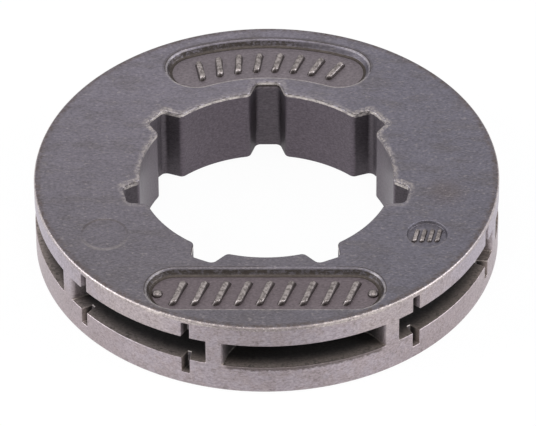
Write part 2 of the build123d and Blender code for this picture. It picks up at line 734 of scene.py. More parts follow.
    def mark_rubbed_and_highlit(self) -> None:
        """Keeps the shine of the rounded edges, wear with a painted highlight or dirt with painted shade, as
        a face attribute that the material reads.
        """
        steep, slack = 0.2, 0.13
        mesh = self.work.obj.data
        # Shine of the rounded faces: over 0 wear with a painted highlight, under 0 dirt with painted shade.
        rubbed = mesh.attributes.new("rubbed", "FLOAT", "FACE")
        for polygon in mesh.polygons:
            if polygon.material_index == ROUNDED_SLOT:
                kind = self.rounding_of(polygon.center, abs(polygon.normal.z) < steep, slack)
                lip = kind is Rounding.PANEL_LIP
                rubbed.data[polygon.index].value = self.lip_shine(polygon) if lip else kind.shine
            polygon.material_index = 0
        mesh.materials.clear()


@dataclass
class PanelRelief:
    """The raised marks of the panels and of the round mark: plain bars and pips, in millimetres.

    A bar's corners and edges are rounded by shares of its width, and its top is a share of its foot.
    """

    floor: float
    seal_floor: float
    sink: float = 0.1
    corner_share: float = 0.45
    edge_share: float = 0.24
    top_share: tuple[float, float] = (0.6, 0.84)
    front_bar: Triple = (0.66, 2.7, 0.36)
    front_lean: float = 1.1
    front_place: float = -13.1
    front_count: int = 9
    front_pitch: float = 1.6
    rear_bar: Triple = (0.66, 2.3, 0.36)
    rear_lean: float = 0.5
    rear_place: float = 13.75
    rear_count: int = 8
    rear_step: float = 6.3
    pip_radius: float = 0.42
    pip_flatness: float = 0.7
    pip_place: float = 7.95
    seal_place: tuple[float, float] = (11.994, -6.925)
    seal_bar: Triple = (0.46, 1.5, 0.2)
    seal_lean: float = 0.4
    seal_count: int = 4
    seal_pitch: float = 0.56

    def build(self) -> list[bpy.types.Object]:
        """Makes the three groups of raised marks.

        Returns:
            The finished pieces, in metres.
        """
        groups = [self.front_bars(), self.rear_bars(), self.seal_bars()]
        for group in groups:
            group.finish()
        return [group.obj for group in groups]

    def bar(self, name: str, size: Triple, lean: float, floor: float) -> Workpiece:
        """Makes one slanted bar with sloping sides and a rounded top, its middle on the Z axis.

        Args:
            name: The new object's name.
            size: Width of the foot along X, its length along Y, and the height.
            lean: How far the far end lies to +X of the near one.
            floor: Height of the floor that it stands on.

        Returns:
            The bar, which starts a little under the floor.
        """
        width, length, height = size
        bar = Workpiece.plate(name, floor - self.sink)
        top = floor + height
        with bar.edit():
            bar.pick_all()
            bpy.ops.transform.resize(value=(width / 2, length / 2, 1), center_override=(0, 0, 0))
            bar.pick(lambda v: v.y > 0)
            bpy.ops.transform.translate(value=(lean, 0, 0))
            bar.round_corners(lambda v: True, self.corner_share * width, segments=4)
            bar.stand_up(height + self.sink)
            bar.pick(lambda v: v.z > top - NEAR)
            bpy.ops.transform.resize(value=(*self.top_share, 1), center_override=(lean / 2, 0, 0))
            bpy.ops.mesh.bevel(
                offset=self.edge_share * width, segments=4, affect="EDGES", clamp_overlap=True
            )
            bar.pick_all()
            bpy.ops.mesh.dissolve_degenerate(threshold=SLIVER)
            bar.face_outwards()
        bar.shift(x=-lean / 2)
        return bar

    @staticmethod
    def repeat(bar: Workpiece, count: int, pitch: float) -> None:
        """Copies a bar to a row along X, with the row's middle where the bar's was.

        Args:
            bar: The bar.
            count: How many there are at the end.
            pitch: Way from one to the next.
        """
        copies = bar.obj.modifiers.new("row", "ARRAY")
        copies.count = count
        copies.use_relative_offset = False
        copies.use_constant_offset = True
        copies.constant_offset_displace = (pitch, 0, 0)
        bar.apply("row")
        bar.shift(x=-pitch * (count - 1) / 2)

    def pip(self, name: str, floor: float) -> Workpiece:
        """Makes one domed pip on the Z axis, cut off a little under its floor.

        Args:
            name: The new object's name.
            floor: Height of the floor that it stands on.

        Returns:
            The pip.
        """
        pip = Workpiece.ball(name, self.pip_radius)
        with pip.edit():
            pip.pick_all()
            bpy.ops.transform.resize(value=(1, 1, self.pip_flatness), center_override=(0, 0, 0))
            bpy.ops.mesh.bisect(
                plane_co=(0, 0, -self.sink / 2), plane_no=Axis.Z.value, use_fill=True, clear_inner=True
            )
            pip.face_outwards()
        pip.shift(z=floor)
        return pip

    def front_bars(self) -> Workpiece:
        """Makes the row of bars in the straight panel, with a pip at each end.

        Returns:
            The row.
        """
        row = self.bar("front_panel_bars", self.front_bar, self.front_lean, self.floor)
        self.repeat(row, self.front_count, self.front_pitch)
        for side in (-self.pip_place, self.pip_place):
            pip = self.pip("front_panel_pip", self.floor)
            pip.shift(x=side)
            row.join(pip)
        row.shift(y=self.front_place)
        return row

    def rear_bars(self) -> Workpiece:
        """Makes the bars of the curved panel, copied round the bore.

        Returns:
            The bars.
        """
        bars = self.bar("rear_panel_bars", self.rear_bar, self.rear_lean, self.floor)
        bars.shift(y=self.rear_place)
        bars.turn(self.rear_step * (self.rear_count - 1) / 2)
        bars.copy_round(self.rear_count, self.rear_step)
        return bars

    def seal_bars(self) -> Workpiece:
        """Makes the short bars of the round mark.

        Returns:
            The bars.
        """
        bars = self.bar("seal_mark_bars", self.seal_bar, self.seal_lean, self.seal_floor)
        self.repeat(bars, self.seal_count, self.seal_pitch)
        bars.shift(*self.seal_place)
        return bars


@dataclass(frozen=True)
class Ramp:
    """A smooth way from a low to a high result, between a start and an end that may lie below it."""

    start: float
    end: float
    low: float = 0.0
    high: float = 1.0


@dataclass(frozen=True)
class Speckle:
    """Spots of noise: how many to a millimetre, where each starts and is full, and what it gives."""

    scale: float
    start: float
    end: float
    between: float = 0.0
    inside: float = 1.0


class Mixer(Enum):
    """Kinds of the mix node: its data type, its sockets for the share and two values, and its output."""

    COLOUR = ("RGBA", (0, 6, 7), 2)
    NUMBER = ("FLOAT", (0, 2, 3), 0)


@dataclass
class Graph:
    """A node tree, with short ways to add to it."""

    tree: bpy.types.NodeTree

    @classmethod
    def of_material(cls, name: str) -> tuple[bpy.types.Material, "Graph"]:
        """Makes a material with nodes.

        Args:
            name: The material's name.

        Returns:
            The material and its node tree.
        """
        material = bpy.data.materials.new(name)
        material.use_nodes = True
        return material, cls(material.node_tree)

    def node(self, kind: str, **settings: object) -> bpy.types.Node:
        """Adds a node.

        Args:
            kind: Type of the node.
            settings: Properties of the node.

        Returns:
            The new node.
        """
        made = self.tree.nodes.new(kind)
        for name, value in settings.items():
            setattr(made, name, value)
        return made

    def put(self, socket: Socket, value: Value) -> None:
        """Links a socket to another one, or sets its value.

        Args:
            socket: The socket that takes the value.
            value: A socket, a number or a colour.
        """
        if isinstance(value, Socket):
            self.tree.links.new(value, socket)
        elif isinstance(value, tuple) and len(socket.default_value) == 4:
            socket.default_value = (*value, 1.0)
        else:
            socket.default_value = value

    def result(
        self, kind: str, output: int | str, values: dict[int | str, Value], **settings: object
    ) -> Socket:
        """Adds a node, gives it its values and takes its result.

        Args:
            kind: Type of the node.
            output: Which of its outputs is taken.
            values: Values for its inputs, by index or name.
            settings: Properties of the node.

        Returns:
            The result.
        """
        node = self.node(kind, **settings)
        for key, value in values.items():
            self.put(node.inputs[key], value)
        return node.outputs[output]

    def math(self, work: str, *values: Value) -> Socket:
        """Adds a maths node with an operation and what goes into it."""
        return self.result("ShaderNodeMath", 0, dict(enumerate(values)), operation=work)

    def length(self, first: Socket, second: Socket) -> Socket:
        """Gives the length of a way whose two parts stand square to each other."""
        return self.math("SQRT", self.math("ADD", self.times(first, first), self.times(second, second)))

    def times(self, *values: Value) -> Socket:
        """Multiplies values with each other.

        Args:
            values: One value or more.

        Returns:
            The product.
        """
        product = values[0]
        for value in values[1:]:
            product = self.math("MULTIPLY", product, value)
        return product

    def rise(self, value: Socket, start: float, end: float, low: float = 0.0, high: float = 1.0) -> Socket:
        """Goes smoothly from one result to another.

        Args:
            value: The value that is looked at.
            start: Where the result is the low one; it may lie above the end.
            end: Where the result is the high one.
            low: The result before the start.
            high: The result past the end.

        Returns:
            The result.
        """
        given = {"Value": value, "From Min": start, "From Max": end, "To Min": low, "To Max": high}
        return self.result("ShaderNodeMapRange", "Result", given, interpolation_type="SMOOTHSTEP")

    def ramp(self, value: Socket, ramp: Ramp) -> Socket:
        """Goes smoothly along a ramp."""
        return self.rise(value, ramp.start, ramp.end, ramp.low, ramp.high)

    def _mixed(self, kind: Mixer, *values: Value) -> Socket:
        """Adds a mix node.

        Args:
            kind: What it mixes.
            values: Share of the second value, first value and second value.

        Returns:
            The mixed value.
        """
        data_type, sockets, output = kind.value
        return self.result("ShaderNodeMix", output, dict(zip(sockets, values)), data_type=data_type)

    def blend(self, share: Value, first: Value, second: Value) -> Socket:
        """Mixes two colours by the second one's share."""
        return self._mixed(Mixer.COLOUR, share, first, second)

    def mix(self, share: Value, first: Value, second: Value) -> Socket:
        """Mixes two numbers by the second one's share."""
        return self._mixed(Mixer.NUMBER, share, first, second)

    def coat(self, colour: Value, tint: Value, *shares: Value) -> Socket:
        """Lays a tint over a colour.

        Args:
            colour: The colour so far.
            tint: What is laid over it.
            shares: Values whose product is the tint's share.

        Returns:
            The new colour.
        """
        return self.blend(self.times(*shares), colour, tint)

    def stretch(self, point: Socket, factors: Triple) -> Socket:
        """Multiplies a place's coordinates by three factors."""
        return self.result("ShaderNodeVectorMath", "Vector", {0: point, 1: factors}, operation="MULTIPLY")

    def distance(self, point: Socket, spot: Triple) -> Socket:
        """Gives the distance of a place from a spot."""
        return self.result("ShaderNodeVectorMath", "Value", {0: point, 1: spot}, operation="DISTANCE")

    def scale(self, colour: Socket, factor: Socket) -> Socket:
        """Makes a colour lighter or darker by a factor."""
        return self.result("ShaderNodeVectorMath", "Vector", {0: colour, "Scale": factor}, operation="SCALE")

    def noise(self, point: Socket, scale: float, detail: float = 2.0, roughness: float = 0.5) -> Socket:
        """Adds a noise texture.

        Args:
            point: The place, in millimetres.
            scale: Features to a millimetre.
            detail: Number of finer layers.
            roughness: Strength of the finer layers.

        Returns:
            The noise, about one half.
        """
        given = {"Vector": point, "Scale": scale, "Detail": detail, "Roughness": roughness}
        return self.result("ShaderNodeTexNoise", 0, given)

    def point(self) -> Socket:
        """Gives the place on the object, in millimetres."""
        return self.stretch(self.node("ShaderNodeTexCoord").outputs["Object"], (1 / MM, 1 / MM, 1 / MM))

    def split(self, point: Socket) -> tuple[Socket, ...]:
        """Gives a place's three coordinates.

        Args:
            point: The place.

        Returns:
            The coordinates along X, Y and Z.
        """
        node = self.node("ShaderNodeSeparateXYZ")
        self.put(node.inputs[0], point)
        return tuple(node.outputs)


@dataclass(frozen=True)
class SharedEffect:
    """A shader node group that several finishes use."""

    name: str
    inputs: tuple[tuple[str, str], ...]
    outputs: tuple[str, ...]
    fill: Callable[[Graph, dict[str, Socket]], dict[str, Socket]]

    def group(self) -> bpy.types.NodeTree:
        """Builds the node group, once.

        Returns:
            The node group.
        """
        made = bpy.data.node_groups.get(self.name)
        if made is None:
            made = bpy.data.node_groups.new(self.name, "ShaderNodeTree")
            for name, kind in self.inputs:
                made.interface.new_socket(name, in_out="INPUT", socket_type=kind)
            for name in self.outputs:
                made.interface.new_socket(name, in_out="OUTPUT", socket_type="NodeSocketFloat")
            graph = Graph(made)
            given = graph.node("NodeGroupInput").outputs
            results = self.fill(graph, {name: given[name] for name, _ in self.inputs})
            last = graph.node("NodeGroupOutput")
            for name, socket in results.items():
                graph.put(last.inputs[name], socket)
        return made

    def use(self, graph: Graph, **values: Value) -> dict[str, Socket]:
        """Places the group in a material.

        Args:
            graph: The material's nodes.
            values: Values for the group's inputs, by name.

        Returns:
            The group's outputs by name.
        """
        node = graph.node("ShaderNodeGroup", node_tree=self.group())
        for name, value in values.items():
            graph.put(node.inputs[name], value)
        return {name: node.outputs[name] for name in self.outputs}


def fill_grain(graph: Graph, given: dict[str, Socket]) -> dict[str, Socket]:
    """Fills the group of the cast skin: fine grain, light flecks, dark smears and broad clouds.

    Args:
        graph: The group's nodes.
        given: The group's inputs.

    Returns:
        The group's results.
    """
    point = given["Point"]
    drawn = graph.stretch(point, (0.55, 1.0, 1.0))
    far_drawn = graph.stretch(point, (0.4, 1.0, 1.0))
    flecks = graph.noise(drawn, scale=5.5, detail=2.0, roughness=0.6)
    smears = graph.noise(far_drawn, scale=0.8, detail=4.0, roughness=0.6)
    return {
        "Grain": graph.noise(drawn, scale=7.5, detail=3.0, roughness=0.65),
        "Fleck": graph.rise(flecks, 0.57, 0.72),
        "Smear": graph.rise(smears, 0.46, 0.66),
        "Cloud": graph.noise(point, scale=0.35, detail=2.0, roughness=0.5),
    }


def fill_rub_and_highlight(graph: Graph, given: dict[str, Socket]) -> dict[str, Socket]:
    """Fills the group of the bright edges, wear with a painted highlight: bright where an edge is, broken by
    noise.

    Args:
        graph: The group's nodes.
        given: The group's inputs.

    Returns:
        The group's results.
    """
    noise = graph.noise(given["Point"], scale=2.8, detail=4.0, roughness=0.7)
    return {"Rub": graph.times(given["Edge"], graph.rise(noise, 0.38, 0.6, low=0.2))}


CAST_GRAIN = SharedEffect(
    "cast_grain", (("Point", "NodeSocketVector"),), ("Grain", "Fleck", "Smear", "Cloud"), fill_grain
)
EDGE_RUB_AND_HIGHLIGHT = SharedEffect(
    "edge_rub", (("Point", "NodeSocketVector"), ("Edge", "NodeSocketFloat")), ("Rub",), fill_rub_and_highlight
)


@dataclass
class Place:
    """Sockets that tell where on the casting a point lies, in millimetres.

    Aside and along are the ways from the middle in X and in Y, whichever side, and loose is a radius that
    wanders a little, for zones with uneven ends.
    """

    graph: Graph
    casting: RimCasting
    point: Socket = field(init=False)
    x: Socket = field(init=False)
    y: Socket = field(init=False)
    z: Socket = field(init=False)
    aside: Socket = field(init=False)
    along: Socket = field(init=False)
    radius: Socket = field(init=False)
    loose: Socket = field(init=False)

    def __post_init__(self) -> None:
        """Adds the nodes that work the place out."""
        graph = self.graph
        self.point = graph.point()
        self.x, self.y, self.z = graph.split(self.point)
        self.aside = graph.math("ABSOLUTE", self.x)
        self.along = graph.math("ABSOLUTE", self.y)
        self.radius = self.away((0.0, 0.0, 0.0))
        noise = graph.noise(self.point, scale=1.6, detail=4.0, roughness=0.7)
        reach = 0.3
        wander = graph.math("MULTIPLY_ADD", noise, 2 * reach, -reach)
        self.loose = graph.math("ADD", self.radius, wander)

    def away(self, foot: Triple) -> Socket:
        """Gives the distance from an upright line.

        Args:
            foot: The line's foot on the ground.

        Returns:
            The distance.
        """
        return self.graph.distance(self.graph.stretch(self.point, (1.0, 1.0, 0.0)), foot)

    def within(self, value: Socket, low: float, high: float, soft: float = 0.05) -> Socket:
        """Tells whether a value lies between two others.

        Args:
            value: The value that is looked at.
            low: Lower end.
            high: Upper end.
            soft: Way over which the result fades outside the ends.

        Returns:
            One inside, and zero outside.
        """
        return self.graph.times(
            self.graph.rise(value, low - soft, low), self.graph.rise(value, high + soft, high)
        )

    def wave(self, count: int, top: float) -> Socket:
        """Gives a wave that goes a number of times round the casting.

        Args:
            count: How many times.
            top: Degrees from the X axis to one of its tops.

        Returns:
            The wave, from -1 to 1.
        """
        graph = self.graph
        angle = graph.math("SUBTRACT", graph.math("ARCTAN2", self.y, self.x), math.radians(top))
        return graph.math("COSINE", graph.times(angle, count))

    def off_bore(self, radius: Socket) -> Socket:
        """Gives about how far a point lies outside the bore's outline with its grooves.

        Args:
            radius: The point's distance from the axis.

        Returns:
            The distance.
        """
        graph, casting = self.graph, self.casting
        in_groove = graph.rise(self.wave(casting.groove_count, 90.0), 0.3, 0.75)
        outline = graph.math("MULTIPLY_ADD", in_groove, casting.groove_depth, casting.bore_radius)
        return graph.math("SUBTRACT", radius, outline)

    def off_front_panel(self) -> Socket:
        """Gives how far a point lies outside the straight panel's outline.

        Returns:
            The distance, under zero inside the panel.
        """
        graph, casting = self.graph, self.casting
        inside, outside = casting.front_panel_inside, casting.front_panel_outside
        past = graph.math("SUBTRACT", self.aside, casting.front_panel_end)
        off_middle = graph.math("SUBTRACT", self.y, -(outside + inside) / 2)
        way = graph.length(graph.math("MAXIMUM", past, 0.0), off_middle)
        return graph.math("SUBTRACT", way, (outside - inside) / 2)

    def off_rear_panel(self) -> Socket:
        """Gives how far a point lies outside the curved panel's outline.

        Returns:
            The distance, under zero inside the panel.
        """
        graph, casting = self.graph, self.casting
        middle, turn = casting.rear_panel_middle, math.radians(casting.rear_panel_sweep / 2)
        beside = graph.math("ABSOLUTE", graph.math("SUBTRACT", self.radius, middle))
        past = graph.length(
            graph.math("SUBTRACT", self.aside, middle * math.sin(turn)),
            graph.math("SUBTRACT", self.y, middle * math.cos(turn)),
        )
        swept = graph.rise(self.wave(1, 90.0), math.cos(turn) - 0.001, math.cos(turn))
        way = graph.mix(swept, past, beside)
        return graph.math("SUBTRACT", way, (casting.rear_panel_outside - casting.rear_panel_inside) / 2)

    def ragged(self, value: Socket, scale: float, reach: float) -> Socket:
        """Adds noise to a value, so that a zone made from it has a ragged end.

        Args:
            value: The value.
            scale: Features of the noise to a millimetre.
            reach: How far the value is moved at most.

        Returns:
            The moved value.
        """
        noise = self.graph.noise(self.point, scale, detail=3.0, roughness=0.7)
        return self.graph.math("MULTIPLY_ADD", noise, reach, value)

    def speckle(self, speckle: Speckle) -> Socket:
        """Gives spots of noise.

        Args:
            speckle: What the spots are like.

        Returns:
            What the speckle gives inside the spots and between them.
        """
        noise = self.graph.noise(self.point, speckle.scale, detail=4.0, roughness=0.7)
        return self.graph.rise(noise, speckle.start, speckle.end, speckle.between, speckle.inside)


@dataclass(frozen=True)
class CastSteel:
    """The casting's finish: dark cast skin, bare rim with painted reflections, pockets with painted shade,
    and bright edges from wear and painted highlight.

    Ramps are in millimetres. A share says how much of a tint is laid over the colour so far.
    """

    front: Colour = (0.126, 0.1135, 0.128)
    rear: Colour = (0.168, 0.1515, 0.179)
    cool: Colour = (0.118, 0.112, 0.138)
    smear: Colour = (0.112, 0.099, 0.104)
    stain: Colour = (0.112, 0.092, 0.094)
    pale: Colour = (0.32, 0.285, 0.275)
    bare: Colour = (0.385, 0.333, 0.357)
    pink: Colour = (0.362, 0.306, 0.316)
    warm: Colour = (0.362, 0.300, 0.308)
    wall_highlight: Colour = (0.430, 0.366, 0.362)
    bluish: Colour = (0.388, 0.346, 0.398)
    brown: Colour = (0.092, 0.070, 0.062)
    bright: Colour = (0.52, 0.455, 0.43)
    mouth: Colour = (0.34, 0.285, 0.255)
    light_mouth: Colour = (0.42, 0.36, 0.34)
    soot_and_shade: Colour = (0.080, 0.074, 0.072)
    bore: Colour = (0.121, 0.1005, 0.1185)
    groove: Colour = (0.116, 0.0995, 0.113)
    flank: Colour = (0.082, 0.070, 0.080)
    panel: Colour = (0.142, 0.116, 0.125)
    rear_panel: Colour = (0.163, 0.139, 0.151)
    grime_and_shade: Colour = (0.045, 0.036, 0.030)
    rubbed: Colour = (0.54, 0.49, 0.46)
    crest: Colour = (0.66, 0.60, 0.57)
    cool_side: Ramp = Ramp(-1.0, 12.0, high=0.6)
    smear_share: float = 0.45
    stained: Triple = (13.4, -2.1, 0.0)
    stain_reach: Ramp = Ramp(2.3, 0.2, high=0.6)
    fleck_share: float = 0.3
    pale_rear: Ramp = Ramp(-6.0, 0.0)
    pale_sides: Ramp = Ramp(4.5, 8.0, low=0.35)
    pale_spots: Speckle = Speckle(4.5, 0.44, 0.56, 0.2, 0.95)
    worn_spots: Speckle = Speckle(2.4, 0.42, 0.58, 0.2, 0.75)
    wall_clouds: Speckle = Speckle(1.1, 0.42, 0.58)
    wall_spots: Speckle = Speckle(2.2, 0.56, 0.68, 0.0, 0.3)
    warm_sides: Ramp = Ramp(8.0, 13.0, high=0.7)
    highlight_band: Triple = (8.0, 11.0, 2.0)
    highlight_share: float = 0.6
    bluish_sides: Ramp = Ramp(13.0, 15.5, high=0.7)
    soot_spots: Speckle = Speckle(3.2, 0.5, 0.62, 0.0, 0.55)
    light_side: Ramp = Ramp(-4.0, -9.0, high=0.7)
    grime_and_shade_spots: Speckle = Speckle(3.4, 0.46, 0.6, 0.95, 0.4)
    less_shade_side: Ramp = Ramp(1.0, 4.5)
    less_shade_share: float = 0.3
    pin_shares: tuple[float, float] = (0.55, 0.4)
    seal_shares: tuple[float, float] = (0.3, 0.25)
    front_lip_highlight: float = 0.22
    rear_lip_highlight: float = 0.5
    brow_shade: float = 0.35
    line_darkening: float = 0.4
    line_middle: Ramp = Ramp(2.5, 4.5, low=0.4)
    line_sides: Ramp = Ramp(7.8, 9.6, low=1.0, high=0.55)
    line_breaks: Speckle = Speckle(4.4, 0.4, 0.56, 0.35)
    line_specks: Speckle = Speckle(6.5, 0.57, 0.64, 0.0, 0.8)
    fringe_reach: Ramp = Ramp(8.5, 5.5, high=0.75)
    crest_ends: Ramp = Ramp(1.5, 5.0)
    crest_dark_spots: Speckle = Speckle(2.4, 0.42, 0.6, 0.0, 0.75)
    crest_breaks: Speckle = Speckle(1.7, 0.36, 0.56, 0.35)
    grain_contrast: float = 1.4
    grain_base: float = 0.2
    cloud_contrast: float = 0.2
    metallic: float = 0.8
    roughness: float = 0.5
    worn_roughness: float = 0.4
    bump_strength: float = 0.5
    bump_depth: float = 0.02
    lump_height: float = 1.2

    def material(self, casting: RimCasting) -> bpy.types.Material:
        """Builds the material.

        Args:
            casting: The casting, whose sizes give the zones their places.

        Returns:
            The material.
        """
        material, graph = Graph.of_material("cast_steel")
        place = Place(graph, casting)
        skin = CAST_GRAIN.use(graph, Point=place.point)
        wall = graph.rise(place.radius, casting.rim_radius - 0.1, casting.rim_radius - 0.04)
        colour = graph.coat(self.top(place, skin), self.wall(place), wall)
        for zone in (
            self.inside_bore, self.inside_pockets, self.sunk, self.lips,
            self.edges, self.fringe, self.bore_crest,
        ):
            colour = zone(place, colour)
        tone = graph.math("MULTIPLY_ADD", skin["Grain"], self.grain_contrast, self.grain_base)
        tone = graph.math("MULTIPLY_ADD", skin["Cloud"], self.cloud_contrast, tone)
        shader = material.node_tree.nodes["Principled BSDF"]
        graph.put(shader.inputs["Base Color"], graph.scale(colour, tone))
        in_bore = graph.rise(place.radius, casting.bore_radius + 0.12, casting.bore_radius + 0.08)
        worn = graph.math("MAXIMUM", wall, in_bore)
        graph.put(shader.inputs["Roughness"], graph.mix(worn, self.roughness, self.worn_roughness))
        shader.inputs["Metallic"].default_value = self.metallic
        bump = graph.node("ShaderNodeBump")
        bump.inputs["Strength"].default_value = self.bump_strength
        bump.inputs["Distance"].default_value = self.bump_depth * MM
        lumps = graph.noise(place.point, scale=2.2, detail=3.0, roughness=0.6)
        height = graph.math("MULTIPLY_ADD", lumps, self.lump_height, skin["Grain"])
        graph.put(bump.inputs["Height"], height)
        graph.put(shader.inputs["Normal"], bump.outputs["Normal"])
        return material

    def top(self, place: Place, skin: dict[str, Socket]) -> Socket:
        """Colours the cast skin: smeared and flecked, pale along the bore, brown along the rim, with painted
        shading that is darker at the front and lighter towards the rear.

        Args:
            place: Where the point lies.
            skin: The shared cast grain.

        Returns:
            The colour.
        """
        graph, casting = place.graph, place.casting
        rim, high = casting.rim_radius, casting.thickness
        on_top = graph.rise(place.z, high - 0.14, high - 0.06)
        # Painted shading: the top is darker at the front and lighter towards the rear.
        colour = graph.coat(self.front, self.rear, graph.rise(place.y, -rim, rim))
        colour = graph.coat(colour, self.cool, graph.ramp(place.x, self.cool_side))
        colour = graph.coat(colour, self.smear, skin["Smear"], self.smear_share)
        colour = graph.coat(colour, self.stain, graph.ramp(place.away(self.stained), self.stain_reach))
        colour = graph.coat(colour, self.pale, skin["Fleck"], self.fleck_share)
        beside = graph.times(
            graph.rise(place.off_bore(place.loose), 0.55, 0.05),
            graph.ramp(place.y, self.pale_rear),
            graph.ramp(place.aside, self.pale_sides),
        )
        colour = graph.coat(colour, self.pale, beside, place.speckle(self.pale_spots), on_top)
        worn = graph.rise(place.loose, rim - 0.65, rim - 0.2)
        return graph.coat(colour, self.brown, worn, on_top, place.speckle(self.worn_spots))

    def wall(self, place: Place) -> Socket:
        """Colours the bare outside of the rims, with painted reflections: a lighter band high up partway to
        the sides, a bluish tint high on the sides and a warmer tint low on the sides.

        Args:
            place: Where the point lies.

        Returns:
            The colour.
        """
        graph, low, top = place.graph, place.casting.lower_rim, place.casting.pocket_top
        upper, lower = graph.rise(place.z, low, top), graph.rise(place.z, top, low)
        band = place.within(place.aside, *self.highlight_band)
        colour = graph.coat(self.bare, self.pink, place.speckle(self.wall_clouds))
        # Painted reflection: warmer low on the sides.
        colour = graph.coat(colour, self.warm, lower, graph.ramp(place.aside, self.warm_sides))
        # Painted highlight: a lighter band high up, partway to the sides.
        colour = graph.coat(colour, self.wall_highlight, upper, band, self.highlight_share)
        # Painted reflection: bluish high on the sides.
        colour = graph.coat(colour, self.bluish, upper, graph.ramp(place.aside, self.bluish_sides))
        return graph.coat(colour, self.brown, place.speckle(self.wall_spots))

    def inside_bore(self, place: Place, colour: Socket) -> Socket:
        """Colours the bore's lands and, darker, its grooves; the lands' tone is partly darker metal and
        partly painted shade, and the grooves' flanks, darkest, are painted shade.

        Args:
            place: Where the point lies.
            colour: The colour so far.

        Returns:
            The colour.
        """
        graph, casting = place.graph, place.casting
        land, floor = casting.bore_radius, casting.groove_radius
        near_bore = graph.rise(place.off_bore(place.radius), 0.2, 0.12)
        # Painted shade: the grooves' flanks darkest.
        dark = graph.coat(self.bore, self.flank, graph.rise(place.radius, land + 0.1, land + 0.3))
        dark = graph.coat(dark, self.groove, graph.rise(place.radius, floor - 0.2, floor - 0.05))
        # The bore's tone is partly darker metal and partly painted shade.
        return graph.coat(colour, dark, near_bore, place.within(place.z, 0.1, casting.thickness - 0.15))

    def inside_pockets(self, place: Place, colour: Socket) -> Socket:
        """Colours the pockets and notches: brown at the mouth, lighter as painted light at the mouths towards
        -X and on the flanks near the mouth, and painted shade with sooty spots deep inside and under the
        upper rim.

        Args:
            place: Where the point lies.
            colour: The colour so far.

        Returns:
            The colour.
        """
        graph, casting = place.graph, place.casting
        rim, low, top = casting.rim_radius, casting.lower_rim, casting.pocket_top
        floor, tip = casting.pocket_floor, casting.rim_radius - casting.notch_depth
        layer = graph.times(
            place.within(place.z, low - 0.03, top + 0.03), graph.rise(place.radius, floor - 0.8, floor - 0.6)
        )
        slit = graph.times(
            place.within(place.z, low - casting.notch_reach - 0.03, top + casting.notch_reach + 0.03),
            graph.rise(place.radius, tip, tip + 0.06),
        )
        # Painted shade: darker deeper in and under the upper rim, with sooty spots.
        deep = graph.rise(place.loose, rim - 0.1, rim - 1.4)
        shade = graph.math("MAXIMUM", deep, graph.rise(place.z, low + 0.4, top, high=0.6))
        shade = graph.math("MAXIMUM", shade, place.speckle(self.soot_spots))
        # Painted light: the mouths towards -X lighter.
        lining = graph.coat(self.mouth, self.light_mouth, graph.ramp(place.x, self.light_side))
        lining = graph.coat(lining, self.soot_and_shade, shade)
        # Painted light on the flanks near the mouth.
        flank = graph.rise(place.radius, rim - 1.7, rim - 0.1, high=0.75)
        lining = graph.coat(lining, self.bare, place.within(place.z, low + 0.12, top - 0.06), flank)
        # Painted light on the notches' walls near the mouth, painted shade further in.
        over = graph.rise(place.z, top + 0.03, top + 0.12)
        past = graph.math("MAXIMUM", over, graph.rise(place.z, low - 0.03, low - 0.12))
        lit = graph.times(graph.rise(place.radius, rim - 0.6, rim - 0.1), graph.mix(over, 0.15, 0.95))
        lining = graph.coat(lining, self.bare, past, lit)
        unlit = graph.rise(place.radius, rim - 0.25, rim - 0.6, high=0.85)
        lining = graph.coat(lining, self.soot_and_shade, past, unlit)
        inside = graph.rise(place.radius, rim - 0.02, rim - 0.08)
        return graph.coat(colour, lining, graph.math("MAXIMUM", layer, slit), inside)

    def sunk(self, place: Place, colour: Socket) -> Socket:
        """Colours the panels' floors, paints shade with dirt on the walls of the panels, less at the curved
        panel's +X end, and paints shade on the far wall and light on the near wall of each round mark.

        Args:
            place: Where the point lies.
            colour: The colour so far.

        Returns:
            The colour.
        """
        graph, casting = place.graph, place.casting
        high, floor = casting.thickness, casting.thickness - casting.panel_depth
        outside = casting.rim_radius - casting.notch_depth + NEAR
        panels = graph.times(
            place.within(place.radius, casting.groove_radius - 0.4, outside),
            graph.rise(place.along, casting.bore_radius - 0.2, casting.bore_radius),
        )
        behind = graph.rise(place.y, 0.0, 1.0)
        floor_colour = graph.coat(self.panel, self.rear_panel, behind)
        colour = graph.coat(colour, floor_colour, panels, place.within(place.z, floor - 0.07, floor + 0.05))
        # Painted shade with dirt on the panels' walls, broken by lighter spots, less at the curved panel's +X
        # end.
        less_shade = graph.times(behind, graph.ramp(place.x, self.less_shade_side))
        wall_grime_and_shade = graph.times(place.speckle(self.grime_and_shade_spots), graph.mix(less_shade, 1.0, self.less_shade_share))
        walls = place.within(place.z, floor + 0.11, high - 0.15)
        colour = graph.coat(colour, self.grime_and_shade, panels, walls, wall_grime_and_shade)
        raised = graph.rise(place.z, high - 0.3, high - 0.25)
        marks = ((casting.pin_mark, self.pin_shares), (casting.seal_mark, self.seal_shares))
        # Painted shade on each round mark's far wall, painted light on its near wall.
        for mark, (dark, light) in marks:
            foot = casting.mark_middle(mark)
            off = graph.math("SUBTRACT", place.away(foot), mark.radius)
            far = graph.rise(place.y, foot[1] - 0.4 * mark.radius, foot[1] + 0.8 * mark.radius, high=dark)
            near = graph.rise(place.y, foot[1], foot[1] - mark.radius, high=light)
            colour = graph.coat(colour, self.grime_and_shade, raised, place.within(off, -0.14, -0.05, 0.06), far)
            colour = graph.coat(colour, self.pale, raised, place.within(off, -0.2, 0.0, 0.15), near)
        return colour

